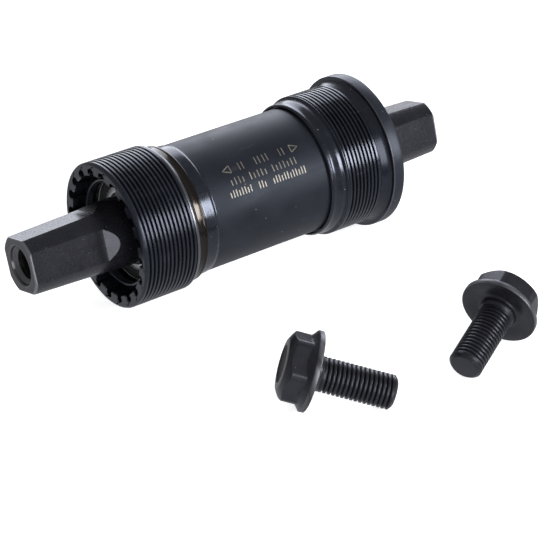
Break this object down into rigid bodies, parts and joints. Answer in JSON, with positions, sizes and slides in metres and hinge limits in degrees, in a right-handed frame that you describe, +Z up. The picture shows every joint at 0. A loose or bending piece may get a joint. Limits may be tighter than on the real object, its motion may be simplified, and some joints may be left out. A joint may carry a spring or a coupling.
{
  "type": "bottom bracket",
  "caption": "Square-taper cartridge bottom bracket with splined threaded cups, a sealed sleeve on ball bearings and two loose flanged crank bolts.",
  "frame": {"origin": "on the spindle's axis, in the middle of the 68 mm frame shell, 34 mm from the flange's seat", "axes": "+X along the spindle towards the drive side, where the flanged cup is; +Z up; the loose bolts lie on the -Y side"},
  "size_m": [0.115, 0.0955, 0.038],
  "materials": {
    "black_oxide_steel": "satin black oxide with a fine forged grain",
    "black_cup_steel": "black coated steel, semi-gloss",
    "black_sleeve_steel": "blue-black coated steel, semi-gloss, with light etched marks",
    "bearing_steel": "ground and polished bearing steel",
    "cage_brass": "machined brass",
    "seal_rubber": "moulded nitrile rubber",
    "spring_steel": "phosphated spring steel"
  },
  "bodies": {
    "housing": {"sleeve": "black_sleeve_steel", "spacer_tube": "bearing_steel", "right_cup": "black_cup_steel", "left_outer_race": "bearing_steel", "right_outer_race": "bearing_steel", "left_outboard_seal": "seal_rubber", "left_inboard_seal": "seal_rubber", "right_outboard_seal": "seal_rubber", "right_inboard_seal": "seal_rubber", "left_retaining_ring": "spring_steel", "right_retaining_ring": "spring_steel"},
    "spindle": {"spindle": "black_oxide_steel", "left_inner_race": "bearing_steel", "right_inner_race": "bearing_steel"},
    "left_ball_set": {"left_ball_cage": "cage_brass", "left_ball_01": "bearing_steel", "left_ball_02": "bearing_steel", "left_ball_03": "bearing_steel", "left_ball_04": "bearing_steel", "left_ball_05": "bearing_steel", "left_ball_06": "bearing_steel", "left_ball_07": "bearing_steel", "left_ball_08": "bearing_steel", "left_ball_09": "bearing_steel", "left_ball_10": "bearing_steel", "left_ball_11": "bearing_steel"},
    "right_ball_set": {"right_ball_cage": "cage_brass", "right_ball_01": "bearing_steel", "right_ball_02": "bearing_steel", "right_ball_03": "bearing_steel", "right_ball_04": "bearing_steel", "right_ball_05": "bearing_steel", "right_ball_06": "bearing_steel", "right_ball_07": "bearing_steel", "right_ball_08": "bearing_steel", "right_ball_09": "bearing_steel", "right_ball_10": "bearing_steel", "right_ball_11": "bearing_steel"},
    "left_cup": {"left_cup": "black_cup_steel"},
    "left_crank_bolt": {"crank_bolt_left": "black_oxide_steel"},
    "right_crank_bolt": {"crank_bolt_right": "black_oxide_steel"}
  },
  "joints": [
    {"name": "spindle_spin", "type": "hinge", "parent": "housing", "child": "spindle", "pos_m": [0, 0, 0], "axis": [1, 0, 0], "continuous": true},
    {"name": "left_ball_set_spin", "type": "hinge", "parent": "housing", "child": "left_ball_set", "pos_m": [-0.0259, 0, 0], "axis": [1, 0, 0], "continuous": true},
    {"name": "right_ball_set_spin", "type": "hinge", "parent": "housing", "child": "right_ball_set", "pos_m": [0.0259, 0, 0], "axis": [1, 0, 0], "continuous": true},
    {"name": "left_cup_slide", "type": "slide", "parent": "housing", "child": "left_cup", "axis": [-1, 0, 0], "range_m": [0, 0.042]},
    {"name": "left_crank_bolt_lift", "type": "slide", "parent": "housing", "child": "left_crank_bolt", "axis": [0.0232, 0, 0.9997], "range_m": [0, 0.06]},
    {"name": "right_crank_bolt_lift", "type": "slide", "parent": "housing", "child": "right_crank_bolt", "axis": [0.0232, 0, 0.9997], "range_m": [0, 0.06]}
  ],
  "couplings": [
    {"joint": "left_ball_set_spin", "follows": "spindle_spin", "ratio": 0.42222},
    {"joint": "right_ball_set_spin", "follows": "spindle_spin", "ratio": 0.42222}
  ]
}
